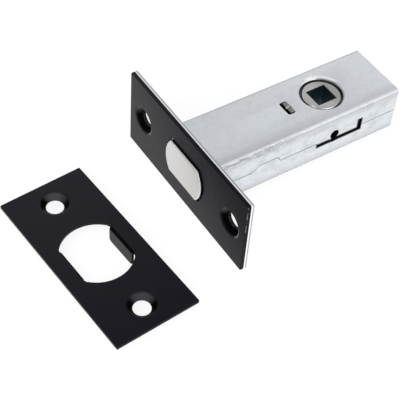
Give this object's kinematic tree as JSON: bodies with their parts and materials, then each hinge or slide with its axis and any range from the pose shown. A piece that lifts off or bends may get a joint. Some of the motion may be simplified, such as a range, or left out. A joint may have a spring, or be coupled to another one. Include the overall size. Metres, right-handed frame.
{
  "type": "tubular bathroom deadbolt",
  "caption": "Tubular bathroom deadbolt: a flat-ended bolt in a folded steel case, thrown by a square-holed follower, with a satin black forend and a matching strike plate.",
  "frame": {"origin": "centre of the forend's front face", "axes": "+X from the forend into the door, along the case; +Y along the forend; +Z along the spindle axis"},
  "size_m": [0.1101, 0.0642, 0.025],
  "materials": {
    "satin_black": "satin black coating",
    "strike_black": "satin black coating",
    "bright_zinc": "bright zinc plate on steel",
    "dull_zinc": "dull zinc plate on steel sheet",
    "satin_nickel": "satin nickel plate",
    "follower_zinc": "plain zinc, satin",
    "plain_steel": "plain steel",
    "spring_steel": "blued spring steel"
  },
  "bodies": {
    "housing": {"outer_forend": "satin_black", "inner_forend": "bright_zinc", "case": "dull_zinc", "stop_post": "plain_steel", "detent_spring": "spring_steel", "strike_plate": "strike_black"},
    "bolt": {"bolt_head": "satin_nickel", "bolt_tail": "plain_steel", "bolt_rivets": "plain_steel"},
    "turn": {"follower": "follower_zinc"}
  },
  "joints": [
    {"name": "bolt_slide", "type": "slide", "parent": "housing", "child": "bolt", "axis": [-1, 0, 0], "range_m": [0, 0.01]},
    {"name": "follower_turn", "type": "hinge", "parent": "housing", "child": "turn", "pos_m": [0.0445, 0, 0], "axis": [0, 0, 1], "range_deg": [0, 90], "deforming": ["detent_spring"]}
  ],
  "couplings": [
    {"joint": "follower_turn", "follows": "bolt_slide", "rad_per_m": 157.07}
  ]
}
